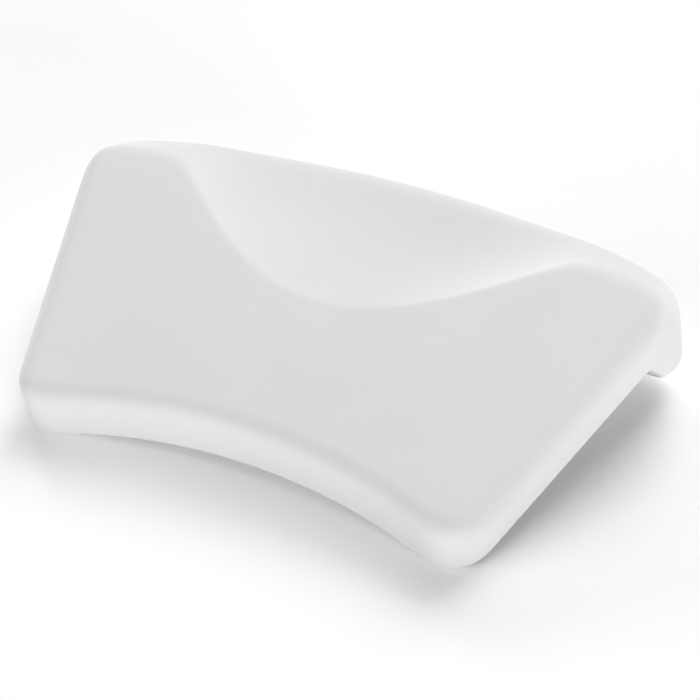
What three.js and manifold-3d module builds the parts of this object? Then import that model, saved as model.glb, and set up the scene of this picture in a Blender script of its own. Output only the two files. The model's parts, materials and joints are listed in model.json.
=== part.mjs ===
// Bath pillow: a moulded headrest with an L-shaped section. Its fan-shaped front panel lies on the
// sloping end wall of a bath, and the arm behind its top edge sits on the bath's rim. The panel's upper
// edge dips into a scoop for the neck. A soft skin is wrapped round a foam core, a stiffener plate lies
// behind the foam, and four suction cups push into grommets in the back.
//
// The pieces are drawn in the panel's own frame, in millimetres: X across the width, Y up the back of
// the panel, Z out of its front. The whole pillow is then tipped as it lies on a table, +Z up, on the two
// lower corners of the panel and on the tip of the arm.
import * as THREE from 'three';
import { mergeVertices } from 'three/addons/utils/BufferGeometryUtils.js';
import Module from 'manifold-3d';

const wasm = await Module();
wasm.setup();

// Panel
const TOP_WIDTH = 360;
const BOTTOM_WIDTH = 254;
const PANEL_LENGTH = 180.5;
const PANEL_THICKNESS = 32;
const BOTTOM_ARCH = 28; // how far the bottom edge curves up in the middle
const TOP_ARCH = 17; // how far the top edge curves up in the middle
const BOTTOM_LEAN = 5; // how far the bottom face leans in towards the front
const FRONT_CROWN = 1.2; // how far the middle of the front stands out

// Arm
const NOTCH_DROP = 25.5; // from the top edge down to the notch behind the panel
const SEAT_ANGLE = THREE.MathUtils.degToRad(60); // how far the rim seat turns away from the panel's back
const SEAT_LENGTH = 38; // of the rim seat at the ends of the arm
const TIP_REACH = 33; // from the end of the seat to the tip
const TIP_ANGLE = THREE.MathUtils.degToRad(30.5); // how far the tip face leans below the panel's plane
const TIP_ARCH = 18.5; // how much longer the arm is in the middle
const TIP_BACK_ARCH = 9; // how far the tip curves back in the middle, past the seat
const RIDGE_BACK = 19.5; // from the top edge back to the ridge, along the panel
const RIDGE_DROP = 18; // from the front face down to the ridge
const RIDGE_ARCH = 24.5; // how far the ridge curves back further than the top edge
const RIDGE_DIP = 10; // how far the ridge sinks in the middle

// Scoop for the neck
const SCOOP_WIDTH = 234;
const SCOOP_DEPTH = 79;
const SCOOP_FULLNESS = 2.15; // exponent of the dip: 2 is a parabola, more is rounder
const SCOOP_EASE = 14; // how softly the dip runs into the top edge
const SCOOP_HOLLOW = 3; // how far the scoop's floor sinks between its crease and the ridge

// Rounded edges and corners
const HEEL_ROUND = 6;
const TOE_ROUND = 10;
const CREASE_ROUND = 18;
const RIDGE_ROUND = 19;
const TIP_ROUND = 9;
const SEAT_END_ROUND = 8;
const NOTCH_ROUND = 8;
const FRONT_END_ROUND = 13; // of a side face's edges along the front and the top
const ARM_END_ROUND = 8; // of its edges round the outside of the arm
const BACK_END_ROUND = 5.5; // of its edges along the back, the seat and the bottom
const BOTTOM_CORNER = 26;
const TOP_CORNER = 23.5;
const ARM_CORNER = 11;
const LEAST_ROUND = 1; // of an edge inside the skin
const ROUND_SHARE = 0.48; // of a side's length that one rounded end may take

// Layers from the outside in
const GAP = 0.3; // between any two neighbouring pieces
const SKIN = 2;
const SKIN_RETURN = 12; // how far the skin is turned in over the back
const LINING = 2; // the back skin
const PLATE = 3;
const PLATE_MARGIN = 24; // from the pillow's edge to the plate's
const KEY_RADIUS = 6.5; // of the foam keys that pass through the plate
const KEY_SPACING = 50;
const KEY_DROP = 16; // from the upper row of cups down to the row of keys
const FLOOR_FLAT = 0.5; // depth of the flats that the pillow lies on

// Suction cups and their grommets
const UPPER_ROW_DROP = 36; // from the notch down to the upper row
const ROW_SPACING = 44;
const UPPER_SPACING = 184;
const LOWER_SPACING = 104;
const BORE_RADIUS = 4;
const BUSH_WALL = 2.4; // of the grommet round its bore
const FLANGE = 4.6; // how far the grommet's flanges stand out from its neck
const FLANGE_THICKNESS = 1.8;
const CUP_RADIUS = 14;
const CUP_DEPTH = 5;
const CUP_WALL = 1.4;
const CUP_LIP = 1.8; // width of the flat sealing lip
const HUB_RADIUS = 6;
const STUD_LENGTH = 5.5;
const STUD_RIB = 0.5; // how far the stud's ribs stand out from its stem

const SPIN_STEPS = 24;
const HOLE_STEPS = 20;

const { clamp, lerp } = THREE.MathUtils;
const NOTCH_HEIGHT = PANEL_LENGTH - NOTCH_DROP;
const vec = (x, y) => new THREE.Vector2(x, y);
const SEAT_RUN = vec(Math.cos(SEAT_ANGLE), -Math.sin(SEAT_ANGLE));
const TIP_RUN = vec(Math.cos(TIP_ANGLE), -Math.sin(TIP_ANGLE));

// Outline helpers

/** Half the pillow's width at a height up the panel. */
function halfWidth(height) {
  return lerp(BOTTOM_WIDTH, TOP_WIDTH, clamp(height / PANEL_LENGTH, 0, 1)) / 2;
}

/** Distance from the middle at the share u of a width whose two sides are drawn in. */
function offMiddle(u, width, drawnIn) {
  return Math.abs(u) * (width / 2 - drawnIn);
}

/** How far a quarter round has sunk where it is past its start. */
function sunk(radius, past) {
  const run = clamp(past, 0, radius);
  return radius - Math.sqrt(radius * radius - run * run);
}

/** How far a round corner has drawn back at a distance from the middle of a form drawn in by inset. */
function cornerDrawBack(x, width, radius, inset) {
  const r = Math.max(radius - inset, LEAST_ROUND);
  return sunk(r, x - (width / 2 - inset - r));
}

/** An arch of the given rise at a distance from the middle. */
function archAt(x, width, rise) {
  const share = (2 * x) / width;
  return rise * (1 - share * share);
}

/** How far the crease dips below the top edge. */
function scoopDip(x) {
  const dip = SCOOP_DEPTH * (1 - ((2 * x) / SCOOP_WIDTH) ** SCOOP_FULLNESS);
  return (dip + Math.hypot(dip, SCOOP_EASE)) / 2;
}

/** Lower end of the panel's back at the share u of the width, fromEnd short of the form's end. */
function heelHeight(u, inset, fromEnd) {
  const x = offMiddle(u, BOTTOM_WIDTH, inset + fromEnd);
  return archAt(x, BOTTOM_WIDTH, BOTTOM_ARCH) + cornerDrawBack(x, BOTTOM_WIDTH, BOTTOM_CORNER, inset);
}

/** Length of the rim seat at the share u of the width, fromEnd short of the form's end. */
function seatLength(u, inset, fromEnd) {
  const x = offMiddle(u, TOP_WIDTH, inset + fromEnd);
  return SEAT_LENGTH + archAt(x, TOP_WIDTH, TIP_ARCH) - cornerDrawBack(x, TOP_WIDTH, ARM_CORNER, inset);
}

/** The corner where two walls meet after each has moved inwards by its own depth. */
function mitre(corner, before, after, depthBefore, depthAfter) {
  const first = vec(-before.y, before.x);
  const second = vec(-after.y, after.x);
  const along = first.dot(second);
  const square = 1 - along * along;
  return corner
    .clone()
    .addScaledVector(first, (depthBefore - along * depthAfter) / square)
    .addScaledVector(second, (depthAfter - along * depthBefore) / square);
}

/** Points of an arc that rounds a corner, limited by the sides that it joins. */
function roundCorner(previous, corner, next, radius, steps) {
  const back = previous.clone().sub(corner);
  const on = next.clone().sub(corner);
  const room = ROUND_SHARE * Math.min(back.length(), on.length());
  back.normalize();
  on.normalize();
  const half = Math.acos(clamp(back.dot(on), -1, 1)) / 2;
  const cut = Math.min(radius / Math.tan(half), room);
  const r = cut * Math.tan(half);
  const toCentre = back.clone().add(on).normalize();
  const centre = corner.clone().addScaledVector(toCentre, r / Math.sin(half));
  const start = corner.clone().addScaledVector(back, cut).sub(centre);
  const end = corner.clone().addScaledVector(on, cut).sub(centre);
  const turn = Math.atan2(start.cross(end), start.dot(end));
  const points = [];
  for (let i = 0; i <= steps; i++) {
    points.push(start.clone().rotateAround(vec(0, 0), (turn * i) / steps).add(centre));
  }
  return points;
}

/** Points between two ends, bowed out to their left by rise. */
function bow(from, to, rise, count) {
  const left = vec(from.y - to.y, to.x - from.x).normalize();
  const points = [];
  for (let i = 1; i <= count; i++) {
    const share = i / (count + 1);
    points.push(from.clone().lerp(to, share).addScaledVector(left, 4 * rise * share * (1 - share)));
  }
  return points;
}

// Sections of the pillow

const FINE = { heel: 2, notch: 3, seatEnd: 2, tip: 3, ridge: 3, crease: 2, toe: 3, topBow: 2, frontBow: 3 };
const PLAIN = { heel: 1, notch: 3, seatEnd: 1, tip: 2, ridge: 2, crease: 1, toe: 1, topBow: 1, frontBow: 1 };

/** Section of the whole form drawn in by inset, at the share u of its width and fromEnd short of its end. */
function bodySection(u, inset, fromEnd, steps) {
  const x = offMiddle(u, TOP_WIDTH, inset + fromEnd);
  const heel = heelHeight(u, inset, fromEnd);
  const rise = archAt(x, TOP_WIDTH, 1);
  const topEdge = PANEL_LENGTH + TOP_ARCH * rise - cornerDrawBack(x, TOP_WIDTH, TOP_CORNER, inset);
  const dip = scoopDip(x);
  const notch = vec(NOTCH_HEIGHT, 0);
  const seatEnd = notch.clone().addScaledVector(SEAT_RUN, seatLength(u, inset, fromEnd));
  const tip = seatEnd.clone().addScaledVector(TIP_RUN, TIP_REACH).add(vec(TIP_BACK_ARCH * rise, 0));
  const ridgeDepth = RIDGE_DROP + RIDGE_DIP * rise;
  const ridge = vec(topEdge + RIDGE_BACK + RIDGE_ARCH * rise, PANEL_THICKNESS - ridgeDepth);
  // Each corner's place and radius, and how round the side after it ends at the side face
  const corners = [
    ['heel', vec(heel, 0), HEEL_ROUND, BACK_END_ROUND],
    ['notch', notch, NOTCH_ROUND, BACK_END_ROUND],
    ['seatEnd', seatEnd, SEAT_END_ROUND, ARM_END_ROUND],
    ['tip', tip, TIP_ROUND, ARM_END_ROUND],
    ['ridge', ridge, RIDGE_ROUND, FRONT_END_ROUND],
    ['crease', vec(topEdge - dip, PANEL_THICKNESS), CREASE_ROUND, FRONT_END_ROUND],
    ['toe', vec(heel + BOTTOM_LEAN, PANEL_THICKNESS), TOE_ROUND, BACK_END_ROUND],
  ];
  const around = (list, i) => list[(i + list.length) % list.length];
  const at = corners.map(([, corner]) => corner);
  const side = (i) => around(at, i + 1).clone().sub(around(at, i)).normalize();
  const depths = corners.map(([, , , endRound]) => {
    const r = Math.max(endRound - inset, LEAST_ROUND);
    return inset + sunk(r, r - fromEnd);
  });
  const inner = at.map((p, i) => mitre(p, side(i - 1), side(i), around(depths, i - 1), depths[i]));
  const rounded = {};
  corners.forEach(([name, , radius], i) => {
    const depth = (around(depths, i - 1) + depths[i]) / 2;
    const r = name === 'notch' ? radius + depth : Math.max(radius - depth, LEAST_ROUND);
    rounded[name] = roundCorner(around(inner, i - 1), inner[i], around(inner, i + 1), r, steps[name]);
  });
  const hollow = (SCOOP_HOLLOW * dip) / SCOOP_DEPTH;
  const { heel: a, notch: b, seatEnd: c, tip: d, ridge: e, crease: f, toe: g } = rounded;
  const top = bow(e.at(-1), f[0], hollow, steps.topBow);
  const front = bow(f.at(-1), g[0], -FRONT_CROWN * rise, steps.frontBow);
  return [...a, ...b, ...c, ...d, ...e, ...top, ...f, ...front, ...g];
}

/** Section of a layer along the panel's back and the rim seat, between two depths, inside a margin. */
function layerSection(u, near, far, margin) {
  const heel = heelHeight(u, margin, 0) + margin;
  const reach = seatLength(u, margin, 0) - margin;
  const up = vec(1, 0);
  const square = vec(-SEAT_RUN.y, SEAT_RUN.x);
  const notch = vec(NOTCH_HEIGHT, 0);
  const bendAt = (depth) => mitre(notch, up, SEAT_RUN, depth, depth);
  const endAt = (depth) => notch.clone().addScaledVector(SEAT_RUN, reach).addScaledVector(square, depth);
  const bend = (from, depth, to) => roundCorner(from, bendAt(depth), to, NOTCH_ROUND + depth, FINE.notch);
  return [
    vec(heel, near),
    ...bend(vec(heel, near), near, endAt(near)),
    endAt(near),
    endAt(far),
    ...bend(endAt(far), far, vec(heel, far)),
    vec(heel, far),
  ];
}

// Lofts

const HALF_STATIONS = 8;
const END_STEPS = 3;

/** Shares of the half width where sections stand, closer together towards the ends. */
function stations() {
  const shares = [];
  for (let i = -HALF_STATIONS; i <= HALF_STATIONS; i++) {
    shares.push(Math.sin((i / HALF_STATIONS) * (Math.PI / 2)));
  }
  return shares;
}

/** A closed surface through rings of points that run the same way round. */
function skinRings(rings) {
  const count = rings[0].length;
  const index = [];
  for (let i = 0; i + 1 < rings.length; i++) {
    for (let j = 0; j < count; j++) {
      const a = i * count + j;
      const b = i * count + ((j + 1) % count);
      index.push(a, b, a + count, b, b + count, a + count);
    }
  }
  const cap = THREE.ShapeUtils.triangulateShape(rings[0].map((p) => vec(p.y, p.z)), []);
  const last = (rings.length - 1) * count;
  const lastCap = THREE.ShapeUtils.triangulateShape(rings.at(-1).map((p) => vec(p.y, p.z)), []);
  cap.forEach(([a, b, c]) => index.push(a, c, b));
  lastCap.forEach(([a, b, c]) => index.push(last + a, last + b, last + c));
  const geometry = new THREE.BufferGeometry().setFromPoints(rings.flat());
  geometry.setIndex(index);
  return geometry;
}

/** Lays a section out in space at the share u of the width, whose sides are drawn in. */
function place(section, u, drawnIn) {
  return section.map((p) => new THREE.Vector3(u * (halfWidth(p.x) - drawnIn), p.x, p.y));
}

/** The whole form drawn in by inset, with its side faces' edges rounded. */
function bodyLoft(inset, steps) {
  const round = FRONT_END_ROUND - inset;
  const ring = (u, fromEnd) => place(bodySection(u, inset, fromEnd, steps), u, inset + fromEnd);
  const rings = stations().map((u) => ring(u, round));
  for (let i = 1; i <= END_STEPS; i++) {
    const fromEnd = round * (1 - Math.sin((i / END_STEPS) * (Math.PI / 2)));
    rings.push(ring(1, fromEnd));
    rings.unshift(ring(-1, fromEnd));
  }
  return skinRings(rings);
}

/** A layer along the back and the rim seat, between two depths and inside a margin. */
function layerLoft(near, far, margin) {
  return skinRings(stations().map((u) => place(layerSection(u, near, far, margin), u, margin)));
}

// Solids

/** A solid that can be joined and cut. */
function solid(geometry) {
  geometry.deleteAttribute('normal');
  geometry.deleteAttribute('uv');
  const merged = mergeVertices(geometry);
  const vertProperties = new Float32Array(merged.attributes.position.array);
  const triVerts = new Uint32Array(merged.index.array);
  return new wasm.Manifold(new wasm.Mesh({ numProp: 3, vertProperties, triVerts }));
}

/** The geometry of a solid. */
function surface(shape) {
  const { vertProperties, triVerts } = shape.getMesh();
  const geometry = new THREE.BufferGeometry();
  geometry.setAttribute('position', new THREE.BufferAttribute(vertProperties, 3));
  geometry.setIndex(new THREE.BufferAttribute(triVerts, 1));
  geometry.computeVertexNormals();
  return geometry;
}

/** A round post through the back at a place on it, between two depths. */
function post([x, height], radius, near, far) {
  const geometry = new THREE.CylinderGeometry(radius, radius, far - near, HOLE_STEPS);
  geometry.rotateX(Math.PI / 2);
  geometry.translate(x, height, (near + far) / 2);
  return solid(geometry);
}

const cutAll = (shape, tools) => tools.reduce((rest, tool) => rest.subtract(tool), shape);

// Places on the panel's back

const UPPER_ROW = NOTCH_HEIGHT - UPPER_ROW_DROP;
const LOWER_ROW = UPPER_ROW - ROW_SPACING;
const CUP_PLACES = [
  [-UPPER_SPACING / 2, UPPER_ROW],
  [UPPER_SPACING / 2, UPPER_ROW],
  [-LOWER_SPACING / 2, LOWER_ROW],
  [LOWER_SPACING / 2, LOWER_ROW],
];
const KEY_PLACES = [-1, 0, 1].map((i) => [i * KEY_SPACING, UPPER_ROW - KEY_DROP]);

// Depths of the layers below the back
const PLATE_NEAR = LINING + GAP;
const PLATE_FAR = PLATE_NEAR + PLATE;
const NECK_RADIUS = BORE_RADIUS + BUSH_WALL;
const FLANGE_RADIUS = NECK_RADIUS + FLANGE;
const FLANGE_NEAR = PLATE_FAR + GAP;
const FLANGE_FAR = FLANGE_NEAR + FLANGE_THICKNESS;
const BREAKOUT = 1; // how far a cutter reaches past the face that it opens

// Pieces

const outerForm = bodyLoft(0, FINE);

/** Pitch at which the panel's lower edge and the arm's tip touch a table together. */
function restingPitch(points) {
  let pitch = 0;
  const height = (p) => p.y * Math.sin(pitch) + p.z * Math.cos(pitch);
  const lowest = (group) => group.reduce((low, p) => (height(p) < height(low) ? p : low));
  const panel = points.filter((p) => p.y < NOTCH_HEIGHT / 2);
  const arm = points.filter((p) => p.y > NOTCH_HEIGHT);
  for (let i = 0; i < 8; i++) {
    const [front, back] = [lowest(panel), lowest(arm)];
    pitch = Math.atan2(front.z - back.z, back.y - front.y);
  }
  return pitch;
}

const outerPoints = [];
for (let i = 0; i < outerForm.attributes.position.count; i++) {
  outerPoints.push(new THREE.Vector3().fromBufferAttribute(outerForm.attributes.position, i));
}
const pitch = restingPitch(outerPoints);
const tipped = outerPoints.map((p) => p.clone().applyAxisAngle(new THREE.Vector3(1, 0, 0), pitch));
const box = new THREE.Box3().setFromPoints(tipped);
const body = new THREE.Group();
body.rotation.x = pitch;
body.position.set(0, -(box.min.y + box.max.y) / 2, -box.min.z - FLOOR_FLAT);
body.updateMatrix();

/** The table as a slab in the panel's frame. */
function tableSlab() {
  const size = box.getSize(new THREE.Vector3());
  const geometry = new THREE.BoxGeometry(2 * size.x, 2 * size.y, size.z);
  geometry.translate(0, 0, -size.z / 2);
  geometry.applyMatrix4(body.matrix.clone().invert());
  return solid(geometry);
}

function frontSkin() {
  const cavity = solid(bodyLoft(SKIN, PLAIN));
  const opening = solid(layerLoft(-BREAKOUT, SKIN + BREAKOUT, SKIN_RETURN));
  return cutAll(solid(outerForm), [cavity, opening, tableSlab()]);
}

function backSkin() {
  const holes = CUP_PLACES.map((at) => post(at, NECK_RADIUS + GAP, -BREAKOUT, LINING + BREAKOUT));
  return cutAll(solid(layerLoft(0, LINING, SKIN_RETURN + GAP)), holes);
}

function stiffenerPlate() {
  const cupHoles = CUP_PLACES.map((at) => post(at, NECK_RADIUS + GAP, 0, FLANGE_FAR));
  const keyHoles = KEY_PLACES.map((at) => post(at, KEY_RADIUS + GAP, 0, FLANGE_FAR));
  return cutAll(solid(layerLoft(PLATE_NEAR, PLATE_FAR, PLATE_MARGIN)), [...cupHoles, ...keyHoles]);
}

function foamCore() {
  const keys = KEY_PLACES.map((at) => post(at, KEY_RADIUS, 0, FLANGE_FAR));
  const platePocket = cutAll(solid(layerLoft(0, PLATE_FAR + GAP, PLATE_MARGIN - GAP)), keys);
  const flangePockets = CUP_PLACES.map((at) => post(at, FLANGE_RADIUS + GAP, 0, FLANGE_FAR + GAP));
  return cutAll(solid(bodyLoft(SKIN + GAP, PLAIN)), [platePocket, ...flangePockets]);
}

/** A spun piece whose profile is given as radius and height out of the panel's back. */
function spun(profile) {
  const geometry = new THREE.LatheGeometry(profile.map(([r, h]) => vec(r, h)), SPIN_STEPS);
  geometry.rotateX(-Math.PI / 2);
  return solid(geometry);
}

/** A rubber grommet: its two flanges hold the lining and the plate between them. */
function grommet() {
  const outside = GAP + FLANGE_THICKNESS;
  return spun([
    [BORE_RADIUS, -FLANGE_FAR],
    [FLANGE_RADIUS, -FLANGE_FAR],
    [FLANGE_RADIUS, -FLANGE_NEAR],
    [NECK_RADIUS, -FLANGE_NEAR],
    [NECK_RADIUS, GAP],
    [FLANGE_RADIUS, GAP],
    [FLANGE_RADIUS, outside],
    [BORE_RADIUS, outside],
    [BORE_RADIUS, -FLANGE_FAR],
  ]);
}

/** A suction cup: a ribbed stud, a hub and a thin skirt that ends in a flat sealing lip. */
function suctionCup() {
  const hub = GAP + FLANGE_THICKNESS + GAP;
  const rim = hub + CUP_DEPTH;
  const rib = BORE_RADIUS - GAP;
  const stem = rib - STUD_RIB;
  const ribStep = STUD_LENGTH / 4;
  return spun([
    [0, hub - STUD_LENGTH],
    [stem, hub - STUD_LENGTH],
    [rib, hub - STUD_LENGTH + ribStep],
    [stem, hub - STUD_LENGTH + 2 * ribStep],
    [rib, hub - STUD_LENGTH + 3 * ribStep],
    [stem, hub],
    [HUB_RADIUS, hub],
    [HUB_RADIUS + CUP_WALL, hub + CUP_WALL],
    [CUP_RADIUS, rim - CUP_WALL / 2],
    [CUP_RADIUS, rim],
    [CUP_RADIUS - CUP_LIP, rim],
    [HUB_RADIUS, hub + 2 * CUP_WALL],
    [0, hub + CUP_WALL],
  ]);
}

// Materials

const finish = (color, roughness) => new THREE.MeshStandardMaterial({ color, roughness, metalness: 0 });
const satinSkin = finish(0xf1f1f2, 0.45);
const lining = finish(0xe9e9ea, 0.6);
const foam = finish(0xf3efe2, 0.95);
const platePlastic = finish(0xcfd3d6, 0.5);
const greyRubber = finish(0xb9bec2, 0.7);
const clearVinyl = finish(0xdfe7ea, 0.15);

// Assembly

function addPiece(name, shape, material, [x, height] = [0, 0]) {
  const mesh = new THREE.Mesh(surface(shape), material);
  mesh.name = name;
  mesh.position.set(x, height, 0);
  body.add(mesh);
}

addPiece('front_skin', frontSkin(), satinSkin);
addPiece('back_skin', backSkin(), lining);
addPiece('foam_core', foamCore(), foam);
addPiece('stiffener_plate', stiffenerPlate(), platePlastic);
CUP_PLACES.forEach((at, i) => {
  addPiece(`cup_grommet_${i + 1}`, grommet(), greyRubber, at);
  addPiece(`suction_cup_${i + 1}`, suctionCup(), clearVinyl, at);
});

const pillow = new THREE.Group();
pillow.name = 'bath_pillow';
pillow.add(body);

export default pillow;
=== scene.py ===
# %% [markdown]
# # A moulded bath pillow
# The pillow is one soft moulding with an L-shaped section: a fan-shaped panel with a scoop for the neck,
# and an arm that hooks over the rim of a bath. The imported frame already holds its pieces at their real
# size. Here each soft piece is modelled again with a fine surface, every piece gets its finish, and the
# pillow is lit and seen as in the photograph.

import json
from math import acos, atan2, cos, degrees, hypot, pi, radians, sin, sqrt, tan

import bmesh
import bpy
from mathutils import Matrix, Vector


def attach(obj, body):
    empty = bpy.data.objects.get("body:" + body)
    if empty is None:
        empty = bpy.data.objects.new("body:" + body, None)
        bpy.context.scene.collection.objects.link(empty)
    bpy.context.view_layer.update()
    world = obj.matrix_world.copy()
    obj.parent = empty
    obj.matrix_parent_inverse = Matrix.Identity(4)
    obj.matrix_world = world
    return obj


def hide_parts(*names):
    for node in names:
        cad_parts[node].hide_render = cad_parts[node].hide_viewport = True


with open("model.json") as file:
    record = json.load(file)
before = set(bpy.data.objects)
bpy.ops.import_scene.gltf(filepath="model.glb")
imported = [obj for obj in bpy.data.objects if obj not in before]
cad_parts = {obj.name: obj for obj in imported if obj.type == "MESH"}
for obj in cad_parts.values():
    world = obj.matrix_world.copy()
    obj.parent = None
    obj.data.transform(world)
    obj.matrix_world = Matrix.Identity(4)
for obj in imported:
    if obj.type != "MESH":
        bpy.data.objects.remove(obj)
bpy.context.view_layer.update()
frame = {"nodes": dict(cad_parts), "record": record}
record = frame["record"]

# %% [markdown]
# ## The camera
# The photograph looks down on the pillow from its front right. A camera can be aimed by a constraint or
# turned by its own angles. It has its own angles here, because they, the distance and the lens come from
# laying the moulding's outline and creases over those in the photograph. It needs no shift.

# %% Camera at the photograph's view
CAMERA_AZIMUTH = radians(25.93)
CAMERA_ELEVATION = radians(38.25)
CAMERA_PLACE = Vector((0.3128, -0.6149, 0.5611))
CAMERA_LENS = 82.0  # mm
SENSOR_WIDTH = 36.0  # mm

lens = bpy.data.cameras.new("photo_camera")
lens.lens = CAMERA_LENS
lens.sensor_width = SENSOR_WIDTH
camera = bpy.data.objects.new("photo_camera", lens)
camera.location = CAMERA_PLACE
camera.rotation_euler = (pi / 2 - CAMERA_ELEVATION, 0, CAMERA_AZIMUTH)
bpy.context.scene.collection.objects.link(camera)
bpy.context.scene.camera = camera
print("camera stands", round(CAMERA_PLACE.length, 3), "m from the pillow's base")

# %% [markdown]
# ## The panel's own frame
# The pillow lies tipped on its lower corners and on the tip of its arm, so its section is easiest to draw
# in the panel's own frame: X across the width, Y up the panel's back and Z out of its front, all in
# millimetres. The joints say which way the panel's back faces, and a mount on a suction cup says where
# it is, so one matrix takes every finished piece from there to the frame. The objects themselves stay at
# the origin, unturned, so that their patterns stay in place too.

# %% From the panel's millimetres to the frame's metres
MM = 0.001
UPPER_ROW = 119  # height of the upper row of cups up the panel's back
LIP_HEIGHT = 7.4  # how far a cup's lip stands out from the back

back_faces = Vector(record["behaviour"]["joints"][0]["axis"])
pitch = atan2(back_faces.y, -back_faces.z)
mounts = {mount["name"]: Vector(mount["pos_m"]) for mount in record["mounts"]}
turn = Matrix.Rotation(pitch, 4, "X")
lip = mounts["cup_lip_1"]
heel_place = lip - turn @ (Vector((lip.x / MM, UPPER_ROW, -LIP_HEIGHT)) * MM)
to_frame = Matrix.Translation(heel_place) @ turn @ Matrix.Scale(MM, 4)
print("panel tipped by", round(degrees(pitch), 2), "degrees, heel at", heel_place[:])

# %% [markdown]
# ## Helpers for finishes
# A finish is a small network of nodes. Colours are written as sRGB hex values, as a colour picker shows
# them, and turned to the linear values that the shader works with. One function adds a node, sets it and
# links it, so that each finish below reads as a list of what it is made of. Patterns follow the piece's
# own coordinates in metres, so a real size in millimetres gives their scale.

# %% Colours and nodes
# The Mix node has sockets of the same name for numbers and for colours, so these are picked by place
MIX_FIRST = 6
MIX_SECOND = 7
MIX_COLOUR = 2


def linear(hex_colour):
    """An sRGB hex colour as linear red, green, blue and alpha."""
    shares = [int(hex_colour[i:i + 2], 16) / 255 for i in (1, 3, 5)]
    return [c / 12.92 if c <= 0.04045 else ((c + 0.055) / 1.055) ** 2.4 for c in shares] + [1.0]


def add_node(tree, kind, inputs, **settings):
    """A node with its settings. An input is a value, or the output that is linked to it."""
    node = tree.nodes.new(kind)
    for name, value in settings.items():
        setattr(node, name, value)
    for name, value in inputs.items():
        if isinstance(value, bpy.types.NodeSocket):
            tree.links.new(value, node.inputs[name])
        else:
            node.inputs[name].default_value = value
    return node


def start_finish(name):
    """A new material, its node tree, its shader and the piece's own coordinates in metres."""
    material = bpy.data.materials.new(name)
    material.use_nodes = True
    tree = material.node_tree
    place = add_node(tree, "ShaderNodeTexCoord", {}).outputs["Object"]
    return material, tree, tree.nodes["Principled BSDF"], place


def per_metre(size_mm):
    """Texture scale at which a pattern repeats about every size_mm."""
    return 1 / (size_mm * MM)


print("white is", linear("#FFFFFF"))

# %% [markdown]
# ## The skin's finish
# The skin is polyurethane, foamed in a mould so that its outside sets as a dense skin with a low satin
# sheen. It is white with the faintest cool cast, it clouds a little where the skin is thicker, and it
# copies the very fine grain of the blasted mould. Painted pictures could give this too, but noise needs no
# unwrapping and stays sharp in a close view. The grain is about 0.2 mm wide on the real skin, and is drawn
# at 0.7 mm so that it shows.

# %% Satin moulded polyurethane
SKIN_WHITE = "#F2F2F3"
SKIN_CLOUD = "#EEEEEF"
SKIN_ROUGHNESS = (0.62, 0.7)
POLYURETHANE_IOR = 1.49
CLOUD_SIZE = 55  # mm
MOULD_GRAIN = 0.7  # mm
MOULD_GRAIN_DEPTH = 0.012  # mm


def satin_polyurethane():
    material, tree, shader, place = start_finish("satin_moulded_polyurethane")
    cloud = add_node(tree, "ShaderNodeTexNoise", {
        "Vector": place, "Scale": per_metre(CLOUD_SIZE), "Detail": 2.0})
    tint = add_node(tree, "ShaderNodeMix", {
        "Factor": cloud.outputs["Fac"],
        MIX_FIRST: linear(SKIN_WHITE), MIX_SECOND: linear(SKIN_CLOUD)}, data_type="RGBA")
    gloss = add_node(tree, "ShaderNodeMapRange", {
        "Value": cloud.outputs["Fac"], "To Min": SKIN_ROUGHNESS[0], "To Max": SKIN_ROUGHNESS[1]})
    grain = add_node(tree, "ShaderNodeTexNoise", {
        "Vector": place, "Scale": per_metre(MOULD_GRAIN), "Detail": 3.0})
    bump = add_node(tree, "ShaderNodeBump", {
        "Height": grain.outputs["Fac"], "Distance": MOULD_GRAIN_DEPTH * MM, "Strength": 1.0})
    tree.links.new(tint.outputs[MIX_COLOUR], shader.inputs["Base Color"])
    tree.links.new(gloss.outputs["Result"], shader.inputs["Roughness"])
    tree.links.new(bump.outputs["Normal"], shader.inputs["Normal"])
    shader.inputs["IOR"].default_value = POLYURETHANE_IOR
    return material


skin_finish = satin_polyurethane()
print("finish:", skin_finish.name)

# %% [markdown]
# ## Sizes of the moulding
# A soft moulding like this could be sculpted by eye, or pulled out of a subdivided box. Here it is a loft,
# because the surface has to fit round the pieces inside it: the same L-shaped section stands at every
# place across the width, and only its corners move. The bottom edge arches up, the panel widens towards
# its top, the arm is longest in the middle, and the crease between the front and the top dips into the
# scoop.

# %% Sizes in millimetres, and two angles
TOP_WIDTH = 360
BOTTOM_WIDTH = 254
PANEL_LENGTH = 180.5
PANEL_THICKNESS = 32
BOTTOM_ARCH = 28  # how far the bottom edge rises in the middle
TOP_ARCH = 17  # how far the top edge rises in the middle
BOTTOM_LEAN = 5  # how much further up the panel the toe is than the heel
FRONT_CROWN = 0.4  # how far the front bulges
NOTCH_HEIGHT = 155  # where the arm leaves the panel's back
SEAT_ANGLE = radians(60)
SEAT_LENGTH = 38  # at the two ends
TIP_REACH = 33  # how far the arm's tip goes on from the seat
TIP_ANGLE = radians(30.5)
TIP_ARCH = 18.5  # how much longer the seat is in the middle
TIP_BACK_ARCH = 9  # how much further back the tip is in the middle
RIDGE_BACK = 19.5  # how far the ridge along the arm lies behind the top edge
RIDGE_DROP = 18  # and how far it lies below the front
RIDGE_ARCH = 24.5  # how much further back the ridge is in the middle
RIDGE_DIP = 10  # and how much lower
SCOOP_WIDTH = 234
SCOOP_DEPTH = 79
SCOOP_FULLNESS = 2.15  # the power of the scoop's curve, where 2 is a parabola
SCOOP_EASE = 14  # how softly the scoop runs out into the top edge
SCOOP_HOLLOW = 3  # how far the scoop's face is hollowed out
BOTTOM_CORNER = 26
TOP_CORNER = 23.5
ARM_CORNER = 11

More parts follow.
